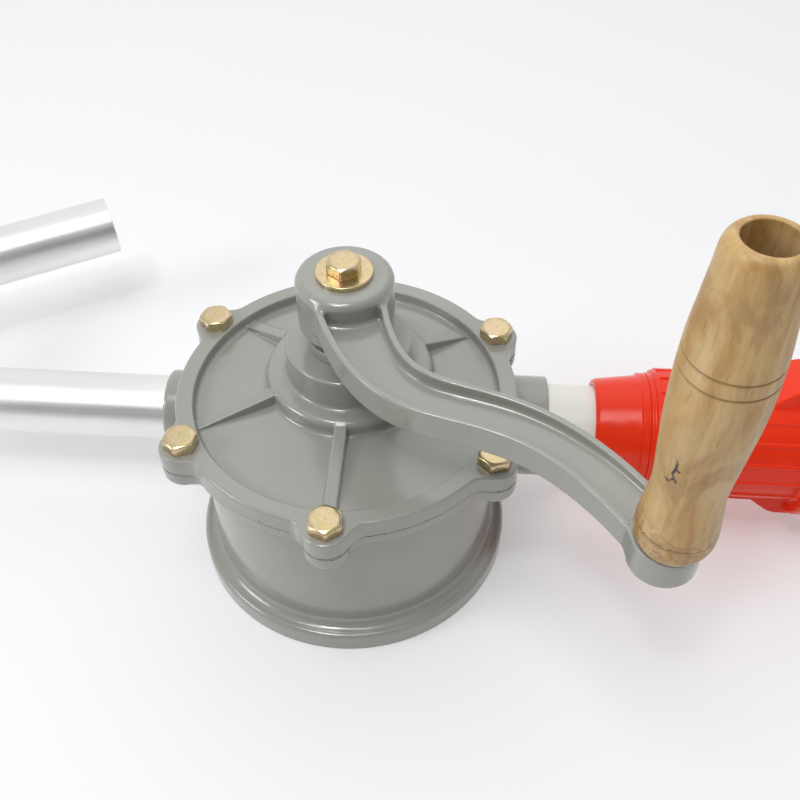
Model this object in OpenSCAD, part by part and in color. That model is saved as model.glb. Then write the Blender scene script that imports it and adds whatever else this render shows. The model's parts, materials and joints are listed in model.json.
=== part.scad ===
// Hand-cranked rotary drum pump, lying on its back face with the cover up.
// Origin: centre of the back face. +X runs along the ports towards the suction side,
// +Y points to the side where the rotor seals against the chamber, +Z points out of the cover.

/* [Casing] */
// Height of the joint face between casing and gasket
casing_h = 85.4; // [84:0.2:87]
// Outer radius of the round wall
wall_r = 65.4; // [64:0.2:68]
// Radius of the foot ring that the pump stands on
foot_r = 72.7; // [71:0.1:76]
// Height of the foot ring
foot_h = 10.2; // [8:0.2:14]
// Radius of the pump chamber
chamber_r = 53.5; // [52:0.5:54]
// Offset of the chamber centre towards the seal side
chamber_y = 4; // [3.5:0.5:4.5]
// Height of the chamber floor
floor_z = 14; // [13:0.5:16]

/* [Cover] */
// Outer radius of the raised rim
rim_r = 73; // [72:0.2:75]
// Inner radius of the raised rim
rim_in_r = 65.2; // [63:0.2:67]
// Height of the rim above the gasket
cover_h = 8.2; // [7:0.2:9]
// Depth of the panel below the rim
panel_drop = 5; // [3:0.5:5.5]
// Radius of the circle of cover bolts
bolt_circle_r = 73.6; // [73:0.1:76]
// Radius of the ears around the bolts
ear_r = 9.5; // [9:0.5:11]
// Number of cover bolts and of ribs
bolt_count = 6; // [4:1:8]
// Width of a rib
rib_w = 5; // [4:0.5:7]
// Radius of the ring at the root of the neck
ring_r = 36; // [34:0.5:38]
// Radius of the neck
neck_r = 27; // [25:0.5:29]
// Height of the top of the neck
neck_top = 110; // [109:0.5:111]

/* [Shaft and rotor] */
// Offset of the shaft from the middle of the casing
shaft_y = 13; // [12.8:0.1:13.1]
// Radius of the shaft in its bushes
shaft_r = 9; // [8.5:0.5:9]
// Radius of the rotor
rotor_r = 44; // [42:0.5:44]
// Number of vanes in the rotor
vane_count = 4; // [4]
// Thickness of a vane
vane_t = 8; // [6:0.5:8]
// Radial depth of a vane
vane_d = 26; // [22:1:26]

/* [Ports] */
// Offset of the port axis towards the seal side
port_y = 25; // [24:0.5:27]
// Height of the port axis above the back face
port_z = 48; // [46:0.5:50]
// Outer radius of the outlet socket
out_socket_r = 18.5; // [18:0.1:20]
// Outer radius of the inlet socket
in_socket_r = 23.5; // [23:0.1:25]
// Distance from the casing centre to each socket's end face
socket_x = 89.5; // [88:0.5:91]

/* [Outlet spout] */
// Outer radius of the aluminium spout tube
spout_r = 15.5; // [15:0.5:16]
// Wall of the spout tube
spout_wall = 1.5; // [1:0.5:2]
// Distance from the casing centre to where the bend starts
bend_x = 199; // [190:1:215]
// Radius of the bend
bend_r = 50; // [46:1:60]
// Angle through which the tube is bent
bend_angle = 152; // [140:1:170]
// Length of the straight end after the bend
leg_l = 78; // [60:1:90]
// Lift of the bend's plane above level
spout_tilt = 4; // [0:1:10]

/* [Suction side] */
// Outer radius of the suction tube
suction_r = 20; // [19.5:0.5:20]
// Wall of the suction tube
suction_wall = 3; // [2.5:0.5:3]
// Distance from the casing centre to the end of the suction tube
suction_end_x = 360; // [350:5:500]
// Outer radius of the spigot at the tube's free end
spigot_r = 19; // [18.8:0.1:19.2]
// Radius of the reamed mouth at the tube's free end
mouth_r = 17.5; // [17.4:0.1:17.6]
// Length of the spigot and its mouth
spigot_l = 30; // [20:1:40]
// Distance from the casing centre to the collar's front face
collar_x = 111; // [109.5:0.5:114]
// Length of the clamping collar
collar_l = 23.6; // [22:0.1:23.6]
// Radius of the adapter's ribbed barrel
barrel_r = 29; // [28:0.1:30]
// Length from the barrel's shoulder to the flange
barrel_l = 70; // [66:1:74]
// Radius of the adapter's flange
flange_r = 35.6; // [34:0.1:37]
// Radius over the two grip lugs
lug_r = 37.5; // [36:0.5:39]
// Major radius of the bung thread (2 inch pipe thread)
bung_r = 29.8; // [29.8]
// Length of the bung thread
bung_l = 24; // [20:1:28]

/* [Crank] */
// Radius of the crank hub
hub_r = 20.2; // [20:0.1:23]
// Height of the crank hub's lower face
hub_z0 = 121; // [120:0.5:122]
// Height of the crank hub's upper face
hub_z1 = 146; // [145:0.5:147]
// Place of the grip's axis across the pump
grip_x = 118.8; // [112:0.1:124]
// Place of the grip's axis in front of the pump
grip_y = -99.2; // [-104:0.1:-94]
// Radius of the boss under the grip
end_boss_r = 12.3; // [12:0.1:14]
// Thickness of the arm's side flanges
arm_wall = 3.2; // [2.5:0.1:4]

/* [Grip] */
// Length of the wooden grip
grip_l = 121; // [110:1:130]
// Radius of the hole in the grip's top
grip_hole_r = 7.4; // [7:0.1:8]
// Depth of that hole
grip_hole_d = 60; // [40:1:70]

/* [Fasteners] */
// Across-flats size of an M8 hexagon head
hex_af = 13; // [13]
// Height of an M8 hexagon head
hex_h = 5.3; // [5.3]
// Radius of an M8 thread
m8_r = 4; // [4]
// Length of a cover bolt under its head
cover_bolt_l = 16; // [14:1:16]

/* [Hidden] */
$fn = 96;

gasket_t = 0.6;               // thickness of the cover gasket
fit = 0.05;                   // radial clearance of a running fit
clear = 0.4;                  // axial gap between parts that turn past each other
flange_t = 7.4;               // thickness of the casing's upper flange and ears
cover_plug = 4;               // depth to which the cover enters the chamber
bush_wall = 3;                // wall of both bushes
key_w = 5;                    // width of both keys
cover_z = casing_h + gasket_t;
rim_z = cover_z + cover_h;
panel_z = rim_z - panel_drop;
ring_z = panel_z + 6.4;       // top of the ring at the neck's root
rotor_z0 = floor_z + clear;
rotor_z1 = cover_z - cover_plug - clear;
slot_root = rotor_r - vane_d - 1.6;
shaft_top = hub_z1 - 0.5;
crank_seat_r = shaft_r - 1;   // the shaft steps in where the crank hub sits
packing_r = 13.5;             // bore of the stuffing box
bush_l = 10;                  // length of the back bush
packing_z0 = 96;
gland_z0 = 105;
gland_top = 115;
seat_depth = 25;              // how far a tube enters its socket
tip_angle = 180 - bend_angle; // heading of the spout's open end, from +X
groove_d = 1.6;               // depth of both seal grooves
bolt_turn = [8, 45, 9, 22, 38, 18];   // direction of a corner of each cover bolt's head
grey = [0.62, 0.63, 0.61];
zinc = [0.82, 0.68, 0.36];
red = [0.88, 0.16, 0.10];

// ---- helpers -------------------------------------------------------------

// Places children with their +Z along the port axis (+X) at distance x from the casing centre
module on_port(x) {
    translate([x, port_y, port_z]) rotate([0, 90, 0]) children();
}

// Repeats children at the cover bolts
module at_bolts() {
    for (i = [0 : bolt_count - 1])
        rotate([0, 0, 30 + i * 360 / bolt_count]) translate([bolt_circle_r, 0, 0]) children();
}

// Ring around Z: outer radius, bore radius, lower and upper height
module ring(ro, ri, z0, z1) {
    difference() {
        translate([0, 0, z0]) cylinder(r = ro, h = z1 - z0);
        translate([0, 0, z0 - 1]) cylinder(r = ri, h = z1 - z0 + 2);
    }
}

// Cylinder with chamfered edges
module soft_disc(r, h, c) {
    rotate_extrude()
        polygon([[0, 0], [r - c, 0], [r, c], [r, h - c], [r - c, h], [0, h]]);
}

// Hexagon head with its underside at z = 0
module hex_head() {
    intersection() {
        cylinder(r = hex_af / 2 / cos(30), h = hex_h, $fn = 6);
        cylinder(r1 = hex_af, r2 = hex_af / 2 - 0.3, h = hex_h + 6.2);
    }
}

// Flat outline shared by the joint faces: a disc with an ear at each bolt
module ear_outline(r) {
    circle(r = r);
    at_bolts() circle(r = ear_r);
}

// ---- casing --------------------------------------------------------------

module casing_outside() {
    fillet = 6;
    rotate_extrude()
        polygon(concat(
            [[0, 0], [foot_r - 1.5, 0], [foot_r, 1.5], [foot_r - 0.4, foot_h - 2.2],
             [foot_r - 2.2, foot_h]],
            [for (a = [0 : 10 : 90])
                [wall_r + fillet * (1 - sin(a)), foot_h + fillet * (1 - cos(a))]],
            [[wall_r, casing_h - flange_t - 6], [wall_r + 2, casing_h - flange_t - 2],
             [foot_r, casing_h - flange_t], [foot_r, casing_h], [0, casing_h]]));
}

// Outside of the casting, hollowed under its floor except for the boss behind the back bush
module casing_blank() {
    difference() {
        union() {
            casing_outside();
            translate([0, 0, casing_h - flange_t]) linear_extrude(flange_t) ear_outline(foot_r);
            on_port(-socket_x) soft_disc(out_socket_r, socket_x - 40, 1.5);
            on_port(40) soft_disc(in_socket_r, socket_x - 40, 1.5);
        }
        translate([0, 0, -1]) cylinder(r = foot_r - 12, h = 6);
    }
    translate([0, shaft_y, 0]) cylinder(r = 20, h = floor_z - 3);
}

module body_casing() {
    color(grey) difference() {
        casing_blank();
        translate([0, chamber_y, floor_z]) cylinder(r = chamber_r, h = casing_h);
        translate([0, shaft_y, floor_z - bush_l]) cylinder(r = shaft_r + bush_wall, h = bush_l + 1);
        // outlet: tube seat, groove for its seal, and port
        on_port(-socket_x - 1) cylinder(r = spout_r + fit, h = seat_depth + 1);
        on_port(-socket_x + 8) cylinder(r = spout_r + groove_d, h = 3);
        on_port(-socket_x) cylinder(r = spout_r - spout_wall, h = 50);
        // inlet: port, tube seat, and groove for its seal
        on_port(socket_x - seat_depth) cylinder(r = suction_r + fit, h = seat_depth + 1);
        on_port(socket_x - 11) cylinder(r = suction_r + groove_d, h = 3);
        on_port(socket_x - 50) cylinder(r = suction_r - suction_wall, h = 50);
        // tapped holes
        at_bolts() translate([0, 0, casing_h - flange_t - 1]) cylinder(r = m8_r + fit, h = 20);
    }
}

module cover_gasket() {
    color("dimgray") difference() {
        translate([0, 0, casing_h]) linear_extrude(gasket_t) ear_outline(foot_r - 0.5);
        translate([0, chamber_y, 0]) cylinder(r = chamber_r + 0.6, h = 200);
        at_bolts() cylinder(r = m8_r + 0.3, h = 200);
    }
}

// ---- cover ---------------------------------------------------------------

// Distance from the shaft to the rim's inner wall in direction a
function rim_reach(a) = sqrt(pow(rim_in_r, 2) - pow(shaft_y * cos(a), 2)) - shaft_y * sin(a);

// Rib from the ring to the rim, in line with the shaft: as high as the ring there, flush with the panel at the rim
module rib(reach) {
    rotate([90, 0, 0]) linear_extrude(rib_w, center = true)
        polygon([[ring_r - 4, panel_z - 1], [reach + 1.5, panel_z - 1], [reach + 1.5, panel_z + 0.3],
                 [reach, panel_z + 0.3], [ring_r - 4, ring_z - 0.6]]);
}

module front_cover() {
    color(grey) difference() {
        union() {
            difference() {
                translate([0, 0, cover_z]) linear_extrude(cover_h) ear_outline(rim_r);
                translate([0, 0, panel_z]) cylinder(r = rim_in_r, h = panel_drop + 1);
            }
            translate([0, chamber_y, cover_z - cover_plug]) cylinder(r = chamber_r - 0.1, h = cover_plug + 1);
            translate([0, shaft_y, 0]) {
                translate([0, 0, panel_z - 1]) soft_disc(ring_r, ring_z - panel_z + 1, 2);
                translate([0, 0, panel_z]) soft_disc(neck_r, neck_top - panel_z, 2);
            }
            intersection() {
                cylinder(r = rim_in_r + 1, h = rim_z);
                for (i = [0 : bolt_count - 1]) let (a = 30 + i * 360 / bolt_count)
                    translate([0, shaft_y, 0]) rotate([0, 0, a]) rib(rim_reach(a));
            }
        }
        // bore for the bush, then the wider stuffing box
        translate([0, shaft_y, cover_z - cover_plug - 1]) cylinder(r = shaft_r + bush_wall, h = 40);
        translate([0, shaft_y, packing_z0]) cylinder(r = packing_r, h = 40);
        at_bolts() translate([0, 0, cover_z - 1]) cylinder(r = m8_r + 0.3, h = 20);
    }
}

module cover_bolts() {
    color(zinc) {
        at_bolts() translate([0, 0, rim_z - cover_bolt_l]) cylinder(r = m8_r, h = cover_bolt_l);
        for (i = [0 : bolt_count - 1]) let (a = 30 + i * 360 / bolt_count)
            translate([bolt_circle_r * cos(a), bolt_circle_r * sin(a), rim_z])
                rotate([0, 0, bolt_turn[i % len(bolt_turn)]]) hex_head();
    }
}

// ---- bearings and seals --------------------------------------------------

module back_bush() {
    color("peru") translate([0, shaft_y, 0])
        ring(shaft_r + bush_wall - 0.02, shaft_r + fit, floor_z - bush_l, floor_z);
}

module front_bush() {
    color("peru") translate([0, shaft_y, 0])
        ring(shaft_r + bush_wall - 0.02, shaft_r + fit, cover_z - cover_plug, packing_z0);
}

module shaft_packing() {
    color("darkkhaki") translate([0, shaft_y, 0]) for (i = [0 : 2])
        ring(packing_r - 0.02, shaft_r + fit, packing_z0 + i * 3, packing_z0 + i * 3 + 2.9);
}

module gland_ring() {
    color("silver") translate([0, shaft_y, 0]) difference() {
        union() {
            translate([0, 0, gland_z0]) cylinder(r = packing_r - 0.05, h = neck_top - gland_z0);
            translate([0, 0, neck_top]) soft_disc(17, gland_top - neck_top, 0.8);
        }
        cylinder(r = shaft_r + fit, h = 200);
    }
}

module outlet_seal() {
    color("black") on_port(-socket_x + 8.1) ring(spout_r + groove_d - 0.05, spout_r + fit, 0, 2.8);
}

module inlet_seal() {
    color("black") on_port(socket_x - 10.9) ring(suction_r + groove_d - 0.05, suction_r + 0.02, 0, 2.8);
}

// ---- shaft, rotor and vanes ----------------------------------------------

module crank_shaft() {
    color("silver") translate([0, shaft_y, 0]) difference() {
        union() {
            translate([0, 0, floor_z - bush_l + clear])
                cylinder(r = shaft_r, h = hub_z0 - floor_z + bush_l - clear);
            translate([0, 0, hub_z0]) cylinder(r = crank_seat_r, h = shaft_top - hub_z0);
        }
        translate([0, 0, shaft_top - 20]) cylinder(r = m8_r + fit, h = 30);
        translate([shaft_r - 2.5, -key_w / 2, rotor_z0 + 10]) cube([5, key_w, 40]);
        translate([crank_seat_r - 2.5, -key_w / 2, hub_z0 + 3]) cube([5, key_w, 40]);
    }
}

module rotor_key() {
    color("dimgray") translate([shaft_r - 2.4, shaft_y - key_w / 2 + 0.05, rotor_z0 + 10.1])
        cube([4.8, key_w - 0.1, 39.8]);
}

module rotor() {
    h = rotor_z1 - rotor_z0;
    color("darkgray") translate([0, shaft_y, rotor_z0]) difference() {
        cylinder(r = rotor_r, h = h);
        translate([0, 0, -1]) cylinder(r = shaft_r + 0.02, h = h + 2);
        translate([0, -key_w / 2, -1]) cube([shaft_r + 2.5, key_w, h + 2]);
        for (i = [0 : vane_count - 1]) rotate([0, 0, vane_angle(i)])
            translate([slot_root, -vane_t / 2 - 0.1, -1]) cube([rotor_r, vane_t + 0.2, h + 2]);
    }
}

function vane_angle(i) = 45 + i * 360 / vane_count;

// Spring pockets in a vane, at two heights above the rotor's lower face
spring_z = [17, 50];
pocket_r = 3.2;
pocket_d = 14;

module vane(i) {
    h = rotor_z1 - rotor_z0 - 0.2;
    x0 = rotor_r - 0.2 - vane_d;
    color("ivory") translate([0, shaft_y, rotor_z0 + 0.1]) rotate([0, 0, vane_angle(i)]) difference() {
        intersection() {
            translate([x0, -vane_t / 2, 0]) cube([vane_d + 5, vane_t, h]);
            cylinder(r = rotor_r - 0.2, h = h);
        }
        for (z = spring_z) translate([x0 - 1, 0, z]) rotate([0, 90, 0])
            cylinder(r = pocket_r, h = pocket_d + 1);
    }
}

module vane_1() { vane(0); }
module vane_2() { vane(1); }
module vane_3() { vane(2); }
module vane_4() { vane(3); }

// Helical wire along +Z as one closed skin
module coil_spring(coil_r, wire_r, turns, length) {
    per_turn = 10;
    sides = 5;
    rings = turns * per_turn;
    pts = [for (k = [0 : rings], s = [0 : sides - 1])
        let (a = k * 360 / per_turn, b = s * 360 / sides, r = coil_r + wire_r * cos(b))
        [r * cos(a), r * sin(a), wire_r + k / rings * (length - 2 * wire_r) + wire_r * sin(b)]];
    walls = [for (k = [0 : rings - 1], s = [0 : sides - 1])
        let (n = (s + 1) % sides, p = k * sides, q = p + sides) each
        [[p + s, q + s, q + n], [p + s, q + n, p + n]]];
    polyhedron(pts, concat([[for (s = [0 : sides - 1]) s]], walls,
                           [[for (s = [sides - 1 : -1 : 0]) rings * sides + s]]));
}

module vane_springs() {
    x0 = slot_root + 0.1;
    length = rotor_r - 0.2 - vane_d + pocket_d - x0 - 0.1;
    color("silver") translate([0, shaft_y, rotor_z0 + 0.1])
        for (i = [0 : vane_count - 1], z = spring_z) rotate([0, 0, vane_angle(i)])
            translate([x0, 0, z]) rotate([0, 90, 0]) coil_spring(2.5, 0.45, 5, length);
}

// ---- crank ---------------------------------------------------------------

// The arm's middle line in plan is a cubic curve from the shaft to the grip
arm_points = [[0, shaft_y], [23.5, -85], [60.5, -10], [grip_x, grip_y]];
arm_steps = 40;
grip_reach = norm([grip_x, grip_y - shaft_y]);
grip_bearing = atan2(grip_y - shaft_y, grip_x);
arm_top = [143, 133.2];       // height of the flange tops at hub and grip
arm_web = [136, 130.5];       // height of the web's upper side
arm_low = [128, 122];         // height of the arm's underside
boss_top = 134;               // height of the boss that the grip stands on

function arm_mid(t) = pow(1 - t, 3) * arm_points[0] + 3 * pow(1 - t, 2) * t * arm_points[1]
    + 3 * (1 - t) * t * t * arm_points[2] + pow(t, 3) * arm_points[3];
function arm_half(t) = 9.7 + 6 * pow(1 - t, 5);
function arm_side(t, off) =
    let (d = arm_mid(t + 0.001) - arm_mid(t - 0.001), n = [-d.y, d.x] / norm(d)) arm_mid(t) + off * n;

module arm_outline(inset) {
    ts = [for (k = [0 : arm_steps]) k / arm_steps];
    polygon(concat([for (t = ts) arm_side(t, arm_half(t) - inset)],
                   [for (k = [arm_steps : -1 : 0]) arm_side(ts[k], inset - arm_half(ts[k]))]));
}

// Everything above the sloping plane that runs from height h[0] at the hub to h[1] at the grip
module above(h) {
    slope = atan2(h[0] - h[1], grip_reach);
    translate([0, shaft_y, h[0]]) rotate([0, 0, grip_bearing]) rotate([0, slope, 0])
        translate([-60, -100, 0]) cube([300, 200, 60]);
}

module crank_arm() {
    color(grey) difference() {
        union() {
            difference() {
                intersection() {
                    translate([0, 0, 100]) linear_extrude(60) arm_outline(0);
                    above(arm_low);
                }
                above(arm_top);
                intersection() {
                    translate([0, 0, 100]) linear_extrude(60) arm_outline(arm_wall);
                    above(arm_web);
                }
            }
            translate([0, shaft_y, hub_z0]) soft_disc(hub_r, hub_z1 - hub_z0, 2.6);
            translate([grip_x, grip_y, boss_top - 13.7]) soft_disc(end_boss_r, 13.7, 0.8);
        }
        translate([0, shaft_y, 100]) cylinder(r = crank_seat_r + fit, h = 60);
        translate([0, shaft_y - key_w / 2, 100]) cube([crank_seat_r + 2.5, key_w, 60]);
        translate([grip_x, grip_y, 100]) cylinder(r = m8_r + fit, h = 60);
    }
}

module crank_key() {
    color("dimgray") translate([crank_seat_r - 2.4, shaft_y - key_w / 2 + 0.05, hub_z0 + 3.1])
        cube([4.8, key_w - 0.1, shaft_top - hub_z0 - 3.2]);
}

module crank_washer() {
    color(zinc) translate([0, shaft_y, 0]) ring(11.8, m8_r + 0.3, hub_z1, hub_z1 + 2);
}

module crank_bolt() {
    color(zinc) translate([0, shaft_y, 0]) {
        translate([0, 0, hub_z1 + 2]) rotate([0, 0, 25]) hex_head();
        translate([0, 0, hub_z1 + 2 - 20]) cylinder(r = m8_r, h = 20);
    }
}

// ---- grip ----------------------------------------------------------------

spindle_r = 4.5;
grip_z0 = boss_top + clear;
spindle_head_z = grip_z0 + grip_l - grip_hole_d + 2;

module grip_spindle() {
    color("silver") translate([grip_x, grip_y, 0]) {
        translate([0, 0, boss_top - 13]) cylinder(r = m8_r, h = 13);
        translate([0, 0, boss_top]) cylinder(r = spindle_r, h = spindle_head_z - boss_top);
        translate([0, 0, spindle_head_z]) intersection() {
            cylinder(r = 10 / 2 / cos(30), h = 5, $fn = 6);
            cylinder(r = 5.5, h = 5);
        }
    }
}

module grip_washer() {
    color("silver") translate([grip_x, grip_y, 0])
        ring(grip_hole_r - 0.8, spindle_r + 0.02, spindle_head_z - 1.5, spindle_head_z);
}

// The grip's outline as height above its foot and radius: bulge, waist, swell and slight taper
grip_outline = [[1.5, 12.2], [4, 13.1], [7.5, 13.4], [13, 13], [20, 12.3], [26, 11.7], [33, 11.8],
                [42, 12.5], [50, 13.1], [62, 13.9], [76, 14.1], [88, 13.7], [102, 12.5], [112, 11.7]];

module wood_grip() {
    top_r = 11.6;
    color("burlywood") translate([grip_x, grip_y, grip_z0]) difference() {
        rotate_extrude()
            polygon(concat(
                [[0, 0], [10.8, 0]], [for (p = grip_outline) [p[1], p[0]]],
                [for (a = [15 : 15 : 90]) [top_r - 4 + 4 * cos(a), grip_l - 6 + 6 * sin(a)]],
                [[0, grip_l]]));
        translate([0, 0, -1]) cylinder(r = spindle_r + 0.08, h = grip_l);
        // pocket for the spindle's head, then the wider hole above it
        translate([0, 0, grip_l - grip_hole_d]) cylinder(r = grip_hole_r - 0.4, h = grip_hole_d);
        translate([0, 0, grip_l - grip_hole_d + 9]) cylinder(r = grip_hole_r, h = grip_hole_d);
    }
}

// ---- outlet spout --------------------------------------------------------

// The spout is one bent tube, made as its two straight ends and the bend between them.
// Children are placed with the bend's centre as origin and the open leg leaving it at angle 0.
module spout_frame() {
    color([0.85, 0.86, 0.88]) translate([0, port_y, port_z]) rotate([spout_tilt, 0, 0])
        translate([-bend_x, bend_r, 0]) rotate([0, 0, 90 + tip_angle]) children();
}

module spout_inlet() {
    spout_frame() rotate([0, 0, bend_angle]) translate([bend_r, 0, 0]) rotate([-90, 0, 0])
        ring(spout_r, spout_r - spout_wall, 0, bend_x - socket_x + seat_depth - clear);
}

module spout_bend() {
    spout_frame() rotate_extrude(angle = bend_angle) translate([bend_r, 0]) difference() {
        circle(r = spout_r);
        circle(r = spout_r - spout_wall);
    }
}

module spout_leg() {
    spout_frame() translate([bend_r, 0, 0]) rotate([90, 0, 0]) ring(spout_r, spout_r - spout_wall, 0, leg_l);
}

// ---- suction side --------------------------------------------------------

shoulder_x = collar_x + collar_l + clear;
flange_x = shoulder_x + barrel_l;
flange_w = 8;
nose_r = suction_r + 2.9;     // threaded nose that the collar screws onto
grommet_l = 6.4;
bung_neck = 3.6;              // plain neck between the flange and the thread, where the gasket sits

module suction_tube() {
    x0 = socket_x - seat_depth + 0.2;
    l = suction_end_x - x0;
    color("whitesmoke") on_port(x0) difference() {
        union() {
            cylinder(r = suction_r, h = l - spigot_l);
            cylinder(r = spigot_r, h = l);
        }
        translate([0, 0, -1]) cylinder(r = suction_r - suction_wall, h = l + 2);
        translate([0, 0, l - spigot_l]) cylinder(r = mouth_r, h = spigot_l + 1);
    }
}

module tube_grommet() {
    color("black") on_port(collar_x + 2.4) ring(suction_r + 2.2, suction_r + fit, 0, grommet_l);
}

module bung_collar() {
    color(red) on_port(collar_x) difference() {
        rotate_extrude()
            polygon([[0, 0], [suction_r + 2.8, 0], [suction_r + 3.4, 0.8], [suction_r + 6.5, collar_l - 1],
                     [suction_r + 6.2, collar_l], [0, collar_l]]);
        translate([0, 0, -1]) cylinder(r = suction_r + 0.4, h = 10);
        translate([0, 0, 2]) cylinder(r = suction_r + 2.3, h = grommet_l + 1.2);
        translate([0, 0, grommet_l + 2.7]) cylinder(r = nose_r + 0.08, h = 30);
    }
}

module bung_adapter() {
    rib_count = 18;
    color(red) on_port(shoulder_x) difference() {
        union() {
            translate([0, 0, grommet_l + 3.1 - collar_l - clear]) cylinder(r = nose_r, h = collar_l);
            soft_disc(barrel_r, barrel_l + 1, 1.5);
            for (i = [0 : rib_count - 1]) rotate([0, 0, (i + 0.5) * 360 / rib_count])
                translate([barrel_r - 2, -1, 12]) cube([2.8, 2, barrel_l - 11]);
            // grip lugs at the top and bottom of the flange
            for (a = [10, 190]) rotate([0, 0, a]) rotate([90, 0, 0])
                linear_extrude(26, center = true)
                    polygon([[22, barrel_l - 16], [barrel_r - 0.6, barrel_l - 16],
                             [lug_r - 1, barrel_l - 8], [lug_r - 1, barrel_l + 4], [22, barrel_l + 4]]);
            translate([0, 0, barrel_l]) soft_disc(flange_r, flange_w, 0.8);
            translate([0, 0, barrel_l + flange_w - 1]) cylinder(r = bung_r - 0.8, h = bung_l + 1);
            translate([0, 0, barrel_l + flange_w + bung_neck]) cylinder(r = bung_r, h = bung_l - bung_neck);
        }
        translate([0, 0, -40]) cylinder(r = suction_r + 0.12, h = 200);
    }
}

module bung_gasket() {
    color("black") on_port(flange_x + flange_w) ring(bung_r + 4, bung_r - 0.78, 0, 3);
}

// ---- assembly ------------------------------------------------------------

body_casing();
cover_gasket();
front_cover();
cover_bolts();
back_bush();
front_bush();
shaft_packing();
gland_ring();
outlet_seal();
inlet_seal();
suction_tube();
crank_shaft();
rotor_key();
rotor();
vane_1();
vane_2();
vane_3();
vane_4();
vane_springs();
crank_key();
crank_arm();
crank_washer();
crank_bolt();
grip_spindle();
grip_washer();
wood_grip();
spout_inlet();
spout_bend();
spout_leg();
tube_grommet();
bung_adapter();
bung_gasket();
bung_collar();
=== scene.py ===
"""Looks of the hand-cranked rotary drum pump: castings, fasteners, spout, adapter and grip.

Lengths inside the script are millimetres in the part's frame; meshes are handed to Blender in metres.
"""
import json
import math

import bpy
import numpy as np
from mathutils import Matrix, Vector

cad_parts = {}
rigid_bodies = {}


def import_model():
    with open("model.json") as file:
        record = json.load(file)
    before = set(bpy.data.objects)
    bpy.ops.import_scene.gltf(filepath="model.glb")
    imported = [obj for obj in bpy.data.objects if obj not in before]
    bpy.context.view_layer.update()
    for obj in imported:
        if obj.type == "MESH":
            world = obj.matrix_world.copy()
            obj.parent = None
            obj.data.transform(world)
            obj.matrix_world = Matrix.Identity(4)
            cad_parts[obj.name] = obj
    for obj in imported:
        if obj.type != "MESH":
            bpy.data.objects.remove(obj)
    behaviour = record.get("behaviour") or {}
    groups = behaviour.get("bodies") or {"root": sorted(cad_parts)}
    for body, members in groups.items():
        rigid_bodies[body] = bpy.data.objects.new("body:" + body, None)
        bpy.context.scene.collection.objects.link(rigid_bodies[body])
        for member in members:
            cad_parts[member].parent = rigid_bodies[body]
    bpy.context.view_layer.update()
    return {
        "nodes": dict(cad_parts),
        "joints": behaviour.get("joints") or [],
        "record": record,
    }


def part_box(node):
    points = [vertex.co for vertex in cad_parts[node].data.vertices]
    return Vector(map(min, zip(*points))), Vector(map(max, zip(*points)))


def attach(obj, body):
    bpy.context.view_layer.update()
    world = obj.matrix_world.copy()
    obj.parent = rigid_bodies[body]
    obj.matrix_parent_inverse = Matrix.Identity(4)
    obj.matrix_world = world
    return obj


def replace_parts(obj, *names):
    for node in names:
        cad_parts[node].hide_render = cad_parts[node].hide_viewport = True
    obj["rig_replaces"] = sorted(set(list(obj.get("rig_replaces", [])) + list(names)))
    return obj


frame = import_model()

MM = 0.001
COARSE = 1.0


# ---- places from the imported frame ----

def node_box(node):
    """Lowest and highest corners of a CAD node at rest."""
    lo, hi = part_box(node)
    return np.array(lo) / MM, np.array(hi) / MM


PIVOT = {j["name"]: np.array(j["pos_m"]) / MM for j in frame["joints"] if j.get("pos_m")}
SHAFT = PIVOT["crank_turn"][:2]
GRIP = PIVOT["grip_spin"][:2]
PORT_Y, PORT_Z = PIVOT["spout_swivel"][1:]
CASING_LO, CASING_HI = node_box("body_casing")
CASING_TOP = node_box("cover_gasket")[0][2]
COVER_Z = node_box("cover_gasket")[1][2]
NECK_TOP = node_box("front_cover")[1][2]
HUB_TOP = node_box("crank_arm")[1][2]
GRIP_FOOT, GRIP_TOP = node_box("wood_grip")[0][2], node_box("wood_grip")[1][2]

# casing: wall, foot ring, top flange, sockets and bores of the ports
WALL_R, FOOT_R, FOOT_H = 65.4, 72.7, 10.2
FLANGE_H, EAR_H = 6.2, 8.2
OUT_SOCKET_R, OUT_BORE_R, SPOUT_SEAT_R = 18.5, 14.0, 15.55
IN_SOCKET_R, IN_BORE_R, TUBE_SEAT_R = 23.5, 17.0, 20.05
SEAT_X = 64.5  # the tubes reach in as far as this, on both sides
PORT_X = 40.0  # the sockets and bores start here, inside the wall
CHAMBER_R, CHAMBER_Y, FLOOR_Z = 53.5, 4.0, 14.0
BACK_WALL, BACK_H, BACK_BOSS_R, BUSH_R, BUSH_Z = 12.0, 5.0, 20.0, 12.0, 4.0

# cover: rim, panel, ring and neck about the shaft, ribs
RIM_R, RIM_IN_R, RIM_Z, PANEL_Z = 73.0, 65.2, COVER_Z + 8.2, COVER_Z + 3.2
RING_R, RING_Z, NECK_R = 36.0, COVER_Z + 9.6, 27.0
RIB_HALF, RIB_DRAFT, RIB_START = 2.45, 0.07, 30.0
PLUG_H, COVER_BORE_R, PACKING_R, PACKING_Z = 4.0, 12.02, 13.5, 96.0

# six bolts: their circle, the ears they sit in and their holes
EARS, FIRST_EAR = 6, math.pi / 6
EAR_CIRCLE, EAR_R, EAR_BLEND = 73.6, 9.5, 6.0
THREAD_HOLE_R, THREAD_DEPTH, BOLT_HOLE_R = 4.1, 8.4, 4.3
GASKET_STEP = 0.25  # the casing's flange and the gasket end this far inside FOOT_R


# ---- signed distances: negative inside ----

def meet(a, b, r=0.0):
    """Inside both, with the edge between them rounded to radius r."""
    if r <= 0:
        return np.maximum(a, b)
    return np.minimum(np.maximum(a, b), -r) + np.hypot(np.maximum(a + r, 0), np.maximum(b + r, 0))


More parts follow.
